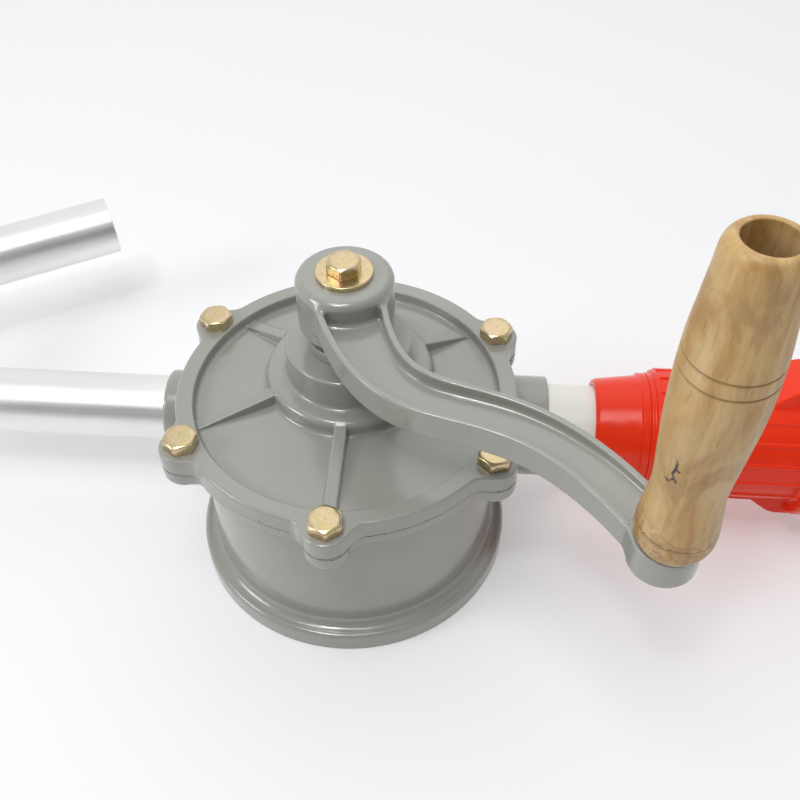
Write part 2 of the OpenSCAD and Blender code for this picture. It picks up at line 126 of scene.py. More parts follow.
def join(a, b, r=0.0):
    """Inside either, with a fillet of radius r in the corner."""
    if r <= 0:
        return np.minimum(a, b)
    return np.maximum(np.minimum(a, b), r) - np.hypot(np.maximum(r - a, 0), np.maximum(r - b, 0))


def cut(a, b, r=0.0):
    """Inside the first but not the second, with the edge between them rounded."""
    return meet(a, -b, r)


def fold(x, y, count, first):
    """Turns the plane so that the nearest of count directions, the first at angle first, lies along +x."""
    turn = 2 * math.pi / count
    angle = np.arctan2(y, x) - first
    angle = angle - turn * np.round(angle / turn)
    reach = np.hypot(x, y)
    return reach * np.cos(angle), reach * np.sin(angle)


def rim_plan(x, y, radius, blend):
    """Round plate with an ear at each cover bolt, in plan."""
    u, v = fold(x, y, EARS, FIRST_EAR)
    return join(np.hypot(x, y) - radius, np.hypot(u - EAR_CIRCLE, v) - EAR_R, blend)


def casing_field(x, y, z):
    rho = np.hypot(x, y)
    u, v = fold(x, y, EARS, FIRST_EAR)
    bolt = np.hypot(u - EAR_CIRCLE, v)
    port = np.hypot(y - PORT_Y, z - PORT_Z)
    # wall, foot ring, flange with its ears, and sockets
    d = join(rho - WALL_R, meet(rho - FOOT_R, z - FOOT_H, 2.4), 5.0)
    d = join(d, meet(rho - FOOT_R + GASKET_STEP, CASING_TOP - FLANGE_H - z, 2.5), 6.0)
    d = join(d, meet(bolt - EAR_R, CASING_TOP - EAR_H - z, 3.6), 5.0)
    outlet = meet(port - OUT_SOCKET_R, CASING_LO[0] - x, 1.5)
    inlet = meet(port - IN_SOCKET_R, x - CASING_HI[0], 1.5)
    d = join(d, meet(outlet, x + PORT_X), 3.5)
    d = join(d, meet(inlet, PORT_X - x), 3.5)
    d = meet(meet(d, z - CASING_TOP, 0.2), -z, 0.9)
    # hollow back, but for the boss behind the bush
    shaft = np.hypot(x - SHAFT[0], y - SHAFT[1])
    hollow = meet(rho - FOOT_R + BACK_WALL, z - BACK_H)
    d = cut(d, cut(hollow, meet(shaft - BACK_BOSS_R, -z - 1), 1.0), 0.8)
    d = cut(d, meet(shaft - BUSH_R, BUSH_Z - z), 0.3)
    # chamber, ports, tube seats and tapped holes
    d = cut(d, meet(np.hypot(x, y - CHAMBER_Y) - CHAMBER_R, FLOOR_Z - z), 0.3)
    d = cut(d, meet(port - OUT_BORE_R, meet(x + PORT_X, CASING_LO[0] - 1 - x)), 0.3)
    d = cut(d, meet(port - SPOUT_SEAT_R, x + SEAT_X), 0.5)
    d = cut(d, meet(port - IN_BORE_R, PORT_X - 0.5 - x), 0.3)
    d = cut(d, meet(port - TUBE_SEAT_R, SEAT_X - x), 0.5)
    return cut(d, meet(bolt - THREAD_HOLE_R, CASING_TOP - THREAD_DEPTH - z), 0.2)


def cover_field(x, y, z):
    rho = np.hypot(x, y)
    u, v = fold(x, y, EARS, FIRST_EAR)
    d = meet(rim_plan(x, y, RIM_R, EAR_BLEND), z - RIM_Z, 1.1)
    recess = meet(rho - RIM_IN_R - 0.08 * (z - PANEL_Z), PANEL_Z - z, 1.7)
    d = cut(d, recess, 0.7)
    # ring and neck about the shaft, both drafted
    shaft = np.hypot(x - SHAFT[0], y - SHAFT[1])
    d = join(d, meet(shaft - RING_R - 0.1 * (RING_Z - z), z - RING_Z, 2.6), 1.8)
    d = join(d, meet(shaft - NECK_R - 0.04 * (NECK_TOP - z), z - NECK_TOP, 1.2), 1.8)
    # ribs from the ring to the rim: as high as the ring there, flush with the panel at the rim
    p, q = fold(x - SHAFT[0], y - SHAFT[1], EARS, FIRST_EAR)
    turn = 2 * math.pi / EARS
    way = np.round((np.arctan2(y - SHAFT[1], x - SHAFT[0]) - FIRST_EAR) / turn) * turn + FIRST_EAR
    reach = np.sqrt(RIM_IN_R ** 2 - (SHAFT[1] * np.cos(way)) ** 2) - SHAFT[1] * np.sin(way)
    fall = (RING_Z - 1.6 - PANEL_Z) / (reach - RING_R + 4)
    top = PANEL_Z + 1.0 + (reach - p) * fall
    rib = meet(np.abs(q) - RIB_HALF - RIB_DRAFT * (RING_Z - z), z - top, 0.6)
    rib = meet(meet(rib, rho - RIM_IN_R - 1.5), RIB_START - p)
    d = meet(join(d, rib, 0.7), COVER_Z - z, 0.2)
    # plug into the chamber, then the bores
    plug = meet(COVER_Z - PLUG_H - z, z - PANEL_Z)
    d = join(d, meet(np.hypot(x, y - CHAMBER_Y) - CHAMBER_R + 0.1, plug))
    d = cut(d, shaft - COVER_BORE_R, 0.3)
    d = cut(d, meet(shaft - PACKING_R, PACKING_Z - z), 0.5)
    return cut(d, np.hypot(u - EAR_CIRCLE, v) - BOLT_HOLE_R, 0.3)


ARM_LINE = np.array([SHAFT, (23.5, -85.0), (60.5, -10.0), GRIP])  # control points of the S
ARM_REACH = float(np.hypot(*(GRIP - SHAFT)))
ARM_DIR = (GRIP - SHAFT) / ARM_REACH
ARM_HALF, HUB_EXTRA, ARM_WALL = 9.7, 6.0, 2.6
# heights at the hub, and how far each falls by the grip: flanges, web, underside
ARM_TOP, ARM_WEB, ARM_LOW = (143.0, 9.8), (136.0, 5.5), (128.0, 6.0)
HUB_R, HUB_FOOT = 20.2, 121.0
END_R, END_HEIGHT, END_OFF = 11.9, 13.7, (-1.2, 0.9)  # the casting's end is not quite centred
BOSS_TOP = GRIP_FOOT - 0.4
SHAFT_SEAT_R, KEY_HALF, KEY_X, SPINDLE_HOLE_R, GRIP_SEAT_R = 8.05, 2.5, 10.5, 4.05, 14.2


def bezier(t, order=0):
    """The arm's middle line, or its first or second derivative, at t from 0 to 1."""
    p = ARM_LINE
    if order == 0:
        w = [(1 - t) ** 3, 3 * (1 - t) ** 2 * t, 3 * (1 - t) * t * t, t ** 3]
    elif order == 1:
        p = 3 * np.diff(p, axis=0)
        w = [(1 - t) ** 2, 2 * (1 - t) * t, t * t]
    else:
        p = 6 * np.diff(p, 2, axis=0)
        w = [1 - t, t]
    return sum(k * q[0] for k, q in zip(w, p)), sum(k * q[1] for k, q in zip(w, p))


def arm_plan(x, y):
    """Distance from the arm's outline in plan: a band around a cubic curve, wider at the hub."""
    x, y = np.broadcast_arrays(x, y)
    samples = np.linspace(0, 1, 25)
    bx, by = bezier(samples)
    best, t = np.full(x.shape, np.inf), np.zeros(x.shape)
    for k, s in enumerate(samples):
        far = (x - bx[k]) ** 2 + (y - by[k]) ** 2
        near = far < best
        best, t = np.where(near, far, best), np.where(near, s, t)
    for _ in range(4):
        (px, py), (ax, ay), (cx, cy) = bezier(t), bezier(t, 1), bezier(t, 2)
        pull = (px - x) * ax + (py - y) * ay
        bend = ax * ax + ay * ay + (px - x) * cx + (py - y) * cy
        t = np.clip(t - pull / np.maximum(bend, 0.3 * (ax * ax + ay * ay)), 0, 1)
    px, py = bezier(t)
    return np.hypot(px - x, py - y) - ARM_HALF - HUB_EXTRA * (1 - t) ** 5


def arm_field(x, y, z):
    plan = arm_plan(x, y)
    along = ((x - SHAFT[0]) * ARM_DIR[0] + (y - SHAFT[1]) * ARM_DIR[1]) / ARM_REACH
    top, web, low = [height - fall * along for height, fall in (ARM_TOP, ARM_WEB, ARM_LOW)]
    d = meet(meet(plan, z - top, 0.9), low - z, 1.6)
    d = cut(d, meet(plan + ARM_WALL, web - z, 1.7), 0.8)
    hub_r = np.hypot(x - SHAFT[0], y - SHAFT[1])
    d = join(d, meet(meet(hub_r - HUB_R, z - HUB_TOP, 3.6), HUB_FOOT - z, 1.5), 2.2)
    grip_r = np.hypot(x - GRIP[0], y - GRIP[1])
    end_r = np.hypot(x - GRIP[0] - END_OFF[0], y - GRIP[1] - END_OFF[1])
    d = join(d, meet(meet(end_r - END_R, z - BOSS_TOP, 0.8), BOSS_TOP - END_HEIGHT - z, 1.8), 2.0)
    # seat under the grip, spindle hole, and shaft bore with its keyway
    d = cut(d, meet(grip_r - GRIP_SEAT_R, BOSS_TOP - z), 0.2)
    d = cut(d, grip_r - SPINDLE_HOLE_R, 0.2)
    keyway = meet(np.abs(y - SHAFT[1]) - KEY_HALF, meet(-x, x - KEY_X))
    return cut(d, join(hub_r - SHAFT_SEAT_R, keyway), 0.3)


# ---- the red adapter, round the port axis ----

SHOULDER_X = node_box("bung_collar")[1][0] + 0.4
FLANGE_X, FLANGE_W = node_box("bung_gasket")[0][0] - 8.0, 8.0
ADAPTER_LO, ADAPTER_HI = node_box("bung_adapter")
NOSE_R, BARREL_R, FLANGE_R, BUNG_R, ADAPTER_BORE_R = 22.9, 29.0, 35.6, 29.8, 20.12
RIBS, RIB_H = 18, 0.8
LUG_R, LUG_HALF, LUG_TURN = 36.5, 13.0, math.radians(10)
THREAD_PITCH, THREAD_H, THREAD_FROM = 2.31, 1.3, 11.4


def adapter_field(x, y, z):
    a, b = y - PORT_Y, z - PORT_Z
    r = np.hypot(a, b)
    d = meet(r - NOSE_R, ADAPTER_LO[0] - x, 0.6)
    # shoulder ring, then the barrel a step above it
    ring = meet(r - BARREL_R + 1.5, SHOULDER_X - x, 0.5)
    barrel = meet(r - BARREL_R, SHOULDER_X + 2.4 - x, 0.9)
    d = join(d, join(ring, barrel, 0.5), 0.3)
    # lengthwise ribs, and shallow pads between them near the shoulder
    u, v = fold(b, a, RIBS, math.pi / RIBS)
    rib = meet(meet(np.abs(v) - 1.0, u - BARREL_R - RIB_H, 0.45), SHOULDER_X + 12 - x, 0.5)
    d = join(d, rib, 0.5)
    u, v = fold(b, a, RIBS, 0.0)
    pad = meet(meet(np.abs(v) - 3.4, u - BARREL_R - RIB_H, 0.5), np.abs(x - SHOULDER_X - 9.0) - 4.6, 0.6)
    d = join(d, pad, 0.4)
    # flange with its two grip lugs, which rise towards it
    d = join(d, meet(meet(r - FLANGE_R, FLANGE_X - x, 1.0), x - FLANGE_X - FLANGE_W, 0.8), 1.6)
    p = b * math.cos(LUG_TURN) + a * math.sin(LUG_TURN)
    q = a * math.cos(LUG_TURN) - b * math.sin(LUG_TURN)
    rise = (np.abs(p) - 28.4) * 0.80 - (x - FLANGE_X + 16) * 0.60
    lug = meet(meet(np.abs(p) - LUG_R, rise, 2.5), np.abs(q) - LUG_HALF, 1.2)
    d = join(d, meet(lug, x - FLANGE_X - FLANGE_W / 2), 1.2)
    # neck and bung thread
    end = x - ADAPTER_HI[0]
    d = join(d, meet(r - BUNG_R + 0.8, meet(end, FLANGE_X - x)), 0.4)
    phase = (x / THREAD_PITCH - np.arctan2(a, b) / (2 * math.pi)) % 1.0
    crest = BUNG_R - THREAD_H * np.abs(2 * phase - 1) ** 1.2
    d = join(d, meet(meet(r - crest, FLANGE_X + THREAD_FROM - x, 0.5), end, 0.8))
    return cut(d, r - ADAPTER_BORE_R, 0.4)


# ---- skins ----

def net(field, lo, hi, step):
    """Surface net of a field's zero level on a regular grid: points and quads that face outwards."""
    axes = [np.arange(lo[i], hi[i] + step, step) for i in range(3)]
    shape = [len(a) for a in axes]
    d = field(axes[0][:, None, None], axes[1][None, :, None], axes[2][None, None, :])
    d = np.broadcast_to(d, shape).astype(np.float32)
    inside = d < 0
    cells, points, quads = [], [], []
    for a in range(3):
        b, c = (a + 1) % 3, (a + 2) % 3
        lower, upper = [slice(None)] * 3, [slice(None)] * 3
        lower[a], upper[a] = slice(0, -1), slice(1, None)
        at = np.argwhere(inside[tuple(lower)] != inside[tuple(upper)])
        above = at.copy()
        above[:, a] += 1
        d0, d1 = d[tuple(at.T)], d[tuple(above.T)]
        crossing = at.astype(float)
        crossing[:, a] += d0 / (d0 - d1)
        around = []
        for ob, oc in ((-1, -1), (0, -1), (0, 0), (-1, 0)):
            cell = at.copy()
            cell[:, b] += ob
            cell[:, c] += oc
            around.append((cell[:, 0] * shape[1] + cell[:, 1]) * shape[2] + cell[:, 2])
            points.append(crossing)
        cells += around
        quad = np.stack(around, 1)
        quad[d0 > 0] = quad[d0 > 0][:, ::-1]
        quads.append(quad)
    ids, points, quads = np.concatenate(cells), np.concatenate(points), np.concatenate(quads)
    used, which = np.unique(ids, return_inverse=True)
    count = np.bincount(which)
    middle = np.stack([np.bincount(which, points[:, i]) / count for i in range(3)], 1)
    return middle * step + np.asarray(lo), np.searchsorted(used, quads)


def slope(field, points, e=0.03):
    """Gradient of the field at the points."""
    return np.stack([(field(*(points + o).T) - field(*(points - o).T)) / (2 * e)
                     for o in np.eye(3) * e], 1)


def settle(field, points, most):
    """Moves points onto the field's zero level, by at most that much a round."""
    for _ in range(3):
        g = slope(field, points)
        d = np.clip(field(*points.T), -most, most)
        points = points - (d / np.maximum((g * g).sum(1), 0.3))[:, None] * g
    return points


def unit(v):
    return v / np.maximum(np.linalg.norm(v, axis=1, keepdims=True), 1e-9)


def make_mesh(name, points, faces, normals=None, **values):
    """Mesh from arrays, in metres, with smooth normals and float or vector values on its points."""
    mesh = bpy.data.meshes.new(name)
    sides = faces.shape[1]
    mesh.vertices.add(len(points))
    mesh.vertices.foreach_set("co", (points * MM).astype(np.float32).ravel())
    mesh.loops.add(faces.size)
    mesh.loops.foreach_set("vertex_index", faces.astype(np.int32).ravel())
    mesh.polygons.add(len(faces))
    mesh.polygons.foreach_set("loop_start", np.arange(0, faces.size, sides, dtype=np.int32))
    mesh.update(calc_edges=True)
    mesh.polygons.foreach_set("use_smooth", np.ones(len(faces), bool))
    for key, value in values.items():
        kind = "FLOAT" if np.ndim(value) == 1 else "FLOAT_VECTOR"
        layer = mesh.attributes.new(key, kind, "POINT")
        layer.data.foreach_set("value" if kind == "FLOAT" else "vector",
                               np.asarray(value, np.float32).ravel())
    if normals is not None:
        mesh.normals_split_custom_set_from_vertices(normals.tolist())
    return mesh


def field_mesh(name, field, lo, hi, step, most):
    """Skin of a field with at most about that many triangles, its points settled on the surface.

    The edge value on its points is above 0 on outer edges and below 0 in corners.
    """
    step *= COARSE
    margin = 2.3 * step
    points, quads = net(field, np.asarray(lo) - margin, np.asarray(hi) + margin, step)
    rough = bpy.data.objects.new("rough", make_mesh("rough", points, quads))
    bpy.context.scene.collection.objects.link(rough)
    ratio = most / (2 * len(quads))
    if ratio < 1:
        decimate = rough.modifiers.new("decimate", "DECIMATE")
        decimate.ratio = ratio
    triangulate = rough.modifiers.new("triangulate", "TRIANGULATE")
    triangulate.quad_method = "BEAUTY"
    thin = rough.evaluated_get(bpy.context.evaluated_depsgraph_get()).to_mesh()
    points = np.empty(len(thin.vertices) * 3, np.float32)
    thin.vertices.foreach_get("co", points)
    faces = np.empty(len(thin.loops), np.int32)
    thin.loops.foreach_get("vertex_index", faces)
    bpy.data.objects.remove(rough)
    points = settle(field, points.reshape(-1, 3).astype(float) / MM, step)
    bend = 0.5
    around = sum(field(*(points + o).T) + field(*(points - o).T) for o in np.eye(3) * bend)
    edge = np.clip((around - 6 * field(*points.T)) / bend ** 2, -2, 2) * 0.5
    return make_mesh(name, points, faces.reshape(-1, 3), unit(slope(field, points)), edge=edge)


def grid_faces(rows, columns, closed):
    """Quads between rings of points; a closed grid also joins the last ring to the first."""
    i, j = np.meshgrid(np.arange(rows if closed else rows - 1), np.arange(columns), indexing="ij")
    i2, j2 = (i + 1) % rows, (j + 1) % columns
    quads = np.stack([i * columns + j, i2 * columns + j, i2 * columns + j2, i * columns + j2], -1)
    return quads.reshape(-1, 4)


ARC_STEP = 11  # degrees between the points of a rounded corner


def rounded(corners, radii, longest):
    """Points and outward normals of a counter-clockwise outline with rounded corners."""
    p = np.array(corners, float)
    out, out_n = [], []
    count = len(p)
    for i in range(count):
        d0, d1 = p[i] - p[i - 1], p[(i + 1) % count] - p[i]
        d0, d1 = d0 / np.linalg.norm(d0), d1 / np.linalg.norm(d1)
        turn = math.atan2(d0[0] * d1[1] - d0[1] * d1[0], d0 @ d1)
        r = radii[i]
        start = p[i] - d0 * r * math.tan(abs(turn) / 2)
        right = np.array([d0[1], -d0[0]])
        centre = start - right * r * math.copysign(1, turn)
        steps = max(2, int(abs(math.degrees(turn)) / ARC_STEP) + 1)
        for k in range(steps + 1):
            a = turn * k / steps
            n = np.array([right[0] * math.cos(a) - right[1] * math.sin(a),
                          right[0] * math.sin(a) + right[1] * math.cos(a)])
            out.append(centre + n * r * math.copysign(1, turn))
            out_n.append(n)
    points, normals = [], []
    for i in range(len(out)):
        j = (i + 1) % len(out)
        points.append(out[i])
        normals.append(out_n[i])
        parts = int(np.linalg.norm(out[j] - out[i]) // longest)
        for k in range(1, parts + 1):
            points.append(out[i] + (out[j] - out[i]) * k / (parts + 1))
            normals.append(out_n[i])
    return np.array(points), np.array(normals)


def line_path(start, axis):
    """Path along +x or +z through a point: place, direction and two sides at each distance."""
    ways = np.roll(np.eye(3), -axis, 0)

    def path(s):
        places = np.tile(np.asarray(start, float), (len(s), 1))
        places[:, axis] = s
        return (places, *(np.tile(way, (len(s), 1)) for way in ways))
    return path


def upright(x, y):
    return line_path((x, y, 0), 2)


port_line = line_path((0, PORT_Y, PORT_Z), 0)


def spin(name, path, outline, normals, sides=128, shift=None):
    """Closed outline of (place along the path, radius), swept round the path. Shift moves it off round.

    The flow value on its points is their place as if the path were straight, along +z.
    """
    turn = np.linspace(0, 2 * math.pi, sides, endpoint=False)
    s, r = outline[:, 0][:, None], outline[:, 1][:, None] + 0 * turn
    if shift is not None:
        r = r + shift(s + 0 * turn, turn + 0 * s)
    centre, along, e1, e2 = path(outline[:, 0])
    out = e1[:, None] * np.cos(turn)[None, :, None] + e2[:, None] * np.sin(turn)[None, :, None]
    points = centre[:, None] + out * r[..., None]
    n = along[:, None] * normals[:, 0][:, None, None] + out * normals[:, 1][:, None, None]
    points, n = points.reshape(-1, 3), n.reshape(-1, 3)
    faces = grid_faces(len(outline), sides, closed=True)
    flow = np.stack([r * np.cos(turn), r * np.sin(turn), s + 0 * turn], -1) * MM
    mesh = make_mesh(name, points, faces, n, flow=flow.reshape(-1, 3))
    # face winding follows the path's handedness, so it is set from the normals
    v = points[faces[0]]
    if np.cross(v[1] - v[0], v[2] - v[0]) @ n[faces[0, 0]] < 0:
        mesh.flip_normals()
        mesh.normals_split_custom_set_from_vertices(n.tolist())
    return mesh


# ---- materials ----

class Look:
    """A node material under construction. Colours are linear."""

    def __init__(self, name, **shader):
        self.mat = bpy.data.materials.new(name)
        self.mat.use_nodes = True
        self.tree = self.mat.node_tree
        self.shader = self.tree.nodes["Principled BSDF"]
        for key, value in shader.items():
            self.shader.inputs[key.replace("_", " ")].default_value = value
        self.coords = self.add("ShaderNodeTexCoord").outputs["Object"]

    def add(self, kind, inputs=(), **props):
        """A node with these properties, its inputs set to values or linked to sockets."""
        node = self.tree.nodes.new(kind)
        for key, value in props.items():
            setattr(node, key, value)
        for key, value in dict(inputs).items():
            if isinstance(value, bpy.types.NodeSocket):
                self.tree.links.new(value, node.inputs[key])
            else:
                node.inputs[key].default_value = value
        return node

    def attribute(self, name):
        return self.add("ShaderNodeAttribute", attribute_name=name)

    def stretched(self, scale, source=None, offset=(0, 0, 0)):
        return self.add("ShaderNodeMapping", {0: source or self.coords, 1: offset, 3: scale}).outputs[0]

    def noise(self, size, detail=3.0, rough=0.55, source=None, warp=0.0):
        """Noise whose blotches are about size millimetres across."""
        return self.add("ShaderNodeTexNoise", {"Vector": source or self.coords, "Scale": 1000.0 / size,
                                               "Detail": detail, "Roughness": rough,
                                               "Distortion": warp}).outputs["Fac"]

    def math(self, operation, a, b=0.0, clamp=False):
        return self.add("ShaderNodeMath", {0: a, 1: b}, operation=operation, use_clamp=clamp).outputs[0]

    def vector(self, operation, inputs, output=0):
        return self.add("ShaderNodeVectorMath", inputs, operation=operation).outputs[output]

    def ramp(self, value, stops, smooth=False):
        node = self.add("ShaderNodeValToRGB", {0: value})
        elements = node.color_ramp.elements
        while len(elements) < len(stops):
            elements.new(0.5)
        for element, (place, colour) in zip(elements, stops):
            element.position = place
            element.color = (colour, colour, colour, 1) if isinstance(colour, float) else (*colour, 1)
        if smooth:
            node.color_ramp.interpolation = "EASE"
        return node.outputs[0]

    def mix(self, amount, a, b):
        a, b = [(*c, 1) if isinstance(c, tuple) else c for c in (a, b)]
        return self.add("ShaderNodeMix", {0: amount, 6: a, 7: b}, data_type="RGBA").outputs[2]

    def tint(self, base, where, share, colour):
        """The base with that share of the colour where the mask is 1."""
        return self.mix(self.math("MULTIPLY", where, share), base, colour)

    def dots(self, size, radius, share, source=None):
        """Sparse round specks: cells of that size, specks of that radius, in that share of the cells."""
        cell = self.add("ShaderNodeTexVoronoi", {"Vector": source or self.coords, "Scale": 1000.0 / size})
        near = self.math("LESS_THAN", cell.outputs["Distance"], radius / size)
        pick = self.add("ShaderNodeSeparateColor", {0: cell.outputs["Color"]}).outputs[0]
        return self.math("MULTIPLY", near, self.math("LESS_THAN", pick, share))

    def segment(self, point, start, end):
        """Distance from a straight piece between two points, in metres."""
        along = tuple(e - s for s, e in zip(start, end))
        off = self.vector("SUBTRACT", {0: point, 1: start})
        share = self.math("DIVIDE", self.vector("DOT_PRODUCT", {0: off, 1: along}, "Value"),
                          sum(a * a for a in along), clamp=True)
        return self.vector("DISTANCE", {0: off, 1: self.vector("SCALE", {0: along, 3: share})}, "Value")

    def bump(self, height, depth, under=None):
        """Relief of that depth in millimetres, on top of the one under it."""
        inputs = {"Height": height, "Distance": depth * MM, "Strength": 1.0}
        if under is not None:
            inputs["Normal"] = under
        return self.add("ShaderNodeBump", inputs).outputs[0]

    def set(self, **sockets):
        """Links the shader's sockets and returns the finished material."""
        for key, value in sockets.items():
            self.tree.links.new(value, self.shader.inputs[key.replace("_", " ")])
        return self.mat


JOINT_BAND = 1.1  # the paint is chipped this far above and below the cover's joint


def paint():
    """Semi-gloss grey enamel over a sand casting: orange peel, thin edges, painted shade in the corners,
    chips.
    """
    m = Look("painted_casting", Specular_IOR_Level=0.9)
    edge = m.attribute("edge").outputs["Fac"]
    base = m.mix(m.noise(26, 4), (0.285, 0.288, 0.258), (0.325, 0.328, 0.298))
    worn = m.math("MULTIPLY", m.ramp(edge, [(0.25, 0.0), (0.95, 1.0)]), m.noise(5, 3))
    base = m.tint(base, worn, 0.45, (0.46, 0.47, 0.45))
    # painted shade: corners and recesses darkened where shade falls, taken from the edge value below 0
    hollow = m.ramp(m.math("MULTIPLY", edge, -1.0), [(0.12, 0.0), (0.8, 1.0)])
    base = m.tint(base, hollow, 0.50, (0.13, 0.132, 0.112))
    base = m.tint(base, m.dots(7.0, 0.22, 0.12), 0.8, (0.05, 0.05, 0.045))
    motes = m.dots(5.0, 0.16, 0.10, m.stretched((1, 1, 1), offset=(0.31, 0.17, 0.05)))
    base = m.tint(base, motes, 0.7, (0.75, 0.76, 0.74))
    # small chips along the joint between the cover and the casing
    height = m.add("ShaderNodeSeparateXYZ", {0: m.coords}).outputs[2]
    off = m.math("ABSOLUTE", m.math("SUBTRACT", height, COVER_Z * MM))
    chips = m.math("GREATER_THAN", m.noise(3.2, 4, 0.6, m.stretched((1, 1, 2.2))), 0.655)
    base = m.tint(base, m.math("LESS_THAN", off, JOINT_BAND * MM), chips, (0.02, 0.02, 0.018))
    rough = m.ramp(m.noise(9, 4), [(0.3, 0.13), (0.7, 0.21)])
    peel = m.bump(m.noise(1.7, 2, 0.5), 0.030)
    grain = m.bump(m.noise(0.5, 2, 0.5), 0.006, under=peel)
    dents = m.bump(m.noise(14, 2), 0.07, under=grain)
    return m.set(Base_Color=base, Roughness=rough, Normal=dents)


def zinc():
    """Yellow zinc plating: gold with faint pink and green films, fine forging relief."""
    m = Look("yellow_zinc", Metallic=1.0)
    base = m.ramp(m.noise(4.5, 3, 0.6, warp=0.8), [(0.28, (0.58, 0.51, 0.26)), (0.45, (0.65, 0.55, 0.30)),
                                                   (0.58, (0.70, 0.52, 0.37)), (0.72, (0.66, 0.56, 0.28))])
    dirt = m.ramp(m.noise(1.6, 4, 0.65), [(0.55, 0.0), (0.75, 1.0)])
    base = m.tint(base, dirt, 0.35, (0.30, 0.20, 0.08))
    rough = m.ramp(m.noise(2.2, 4), [(0.3, 0.20), (0.7, 0.34)])
    relief = m.bump(m.noise(1.4, 2, 0.5), 0.012)
    fine = m.bump(m.noise(0.35, 2), 0.003, under=relief)
    return m.set(Base_Color=base, Roughness=rough, Normal=fine)


def aluminium():
    """Drawn aluminium tube: lengthwise draw lines, satin, with faint handling marks."""
    m = Look("spout_aluminium", Metallic=1.0, Anisotropic=0.35)
    flow = m.attribute("flow").outputs["Vector"]
    lines = m.noise(0.9, 3, 0.6, m.stretched((1, 1, 0.012), flow))
    fine = m.noise(0.35, 2, 0.5, m.stretched((1, 1, 0.02), flow))
    cloud = m.noise(16, 3, 0.5, m.stretched((1, 1, 0.4), flow))
    base = m.mix(cloud, (0.845, 0.84, 0.83), (0.905, 0.90, 0.89))
    marks = m.ramp(m.noise(5, 5, 0.7, m.stretched((1, 1, 0.5), flow), warp=1.5), [(0.62, 0.0), (0.74, 1.0)])
    base = m.tint(base, marks, 0.30, (0.55, 0.56, 0.57))
    rough = m.ramp(m.math("ADD", m.math("MULTIPLY", lines, 0.6), m.math("MULTIPLY", cloud, 0.4)),
                   [(0.3, 0.36), (0.7, 0.54)])
    drawn = m.bump(lines, 0.010)
    return m.set(Base_Color=base, Roughness=rough, Normal=m.bump(fine, 0.004, under=drawn))


def pale_plastic():
    """Extruded off-white tube: lengthwise die lines, a few dark specks."""
    m = Look("pale_plastic", Specular_IOR_Level=0.5)
    flow = m.attribute("flow").outputs["Vector"]
    base = m.mix(m.noise(30, 3, 0.5), (0.76, 0.75, 0.68), (0.82, 0.81, 0.75))
    lines = m.noise(0.8, 3, 0.6, m.stretched((1, 1, 0.02), flow))
    base = m.tint(base, m.dots(6, 0.25, 0.15), 0.5, (0.40, 0.38, 0.32))
    rough = m.ramp(m.noise(8, 3), [(0.3, 0.30), (0.7, 0.42)])
    return m.set(Base_Color=base, Roughness=rough, Normal=m.bump(lines, 0.012))


def red_plastic():
    """Glossy injection-moulded polyethylene with slight sink waves and fine flow lines."""
    m = Look("red_plastic", Specular_IOR_Level=0.3)
    base = m.mix(m.noise(22, 3, 0.5), (0.78, 0.026, 0.003), (0.86, 0.038, 0.006))
    base = m.tint(base, m.dots(8, 0.2, 0.12), 0.5, (0.95, 0.35, 0.25))
    rough = m.ramp(m.noise(6, 3), [(0.3, 0.17), (0.7, 0.27)])
    sink = m.bump(m.noise(9, 2, 0.4), 0.10)
    fine = m.bump(m.noise(0.9, 3, 0.6), 0.008, under=sink)
    return m.set(Base_Color=base, Roughness=rough, Normal=fine)


GROOVES = (79.0, 84.5)  # heights of the two grooves above the grip's foot
KNOT_ANGLE, KNOT_HEIGHT, KNOT_R = math.radians(-137), 43.5, 12.7
# cracks of the knot: millimetres round the grip and up it, from the knot's middle
CRACKS = (((-2.0, -4.5), (-0.5, -4.3)), ((-0.5, -4.3), (1.0, -2.2)), ((1.0, -2.2), (1.7, -3.4)),
          ((1.0, -2.2), (0.0, -0.5)), ((0.0, -0.5), (0.8, 2.2)), ((0.8, 2.2), (2.0, 1.5)),
          ((0.8, 2.2), (0.9, 5.0)), ((0.9, 5.0), (0.2, 7.0)), ((-1.4, -4.9), (-0.6, -4.8)))
CRACK_BEND = 0.45  # noise moves the cracks by this much, either way


def on_grip(around, up):
    """Point on the grip in its flow coordinates, in metres, plus the mean of the cracks' noise."""
    angle = KNOT_ANGLE + around / KNOT_R
    place = np.array([KNOT_R * math.cos(angle), KNOT_R * math.sin(angle), GRIP_FOOT + KNOT_HEIGHT + up])
    return tuple((place + CRACK_BEND) * MM)


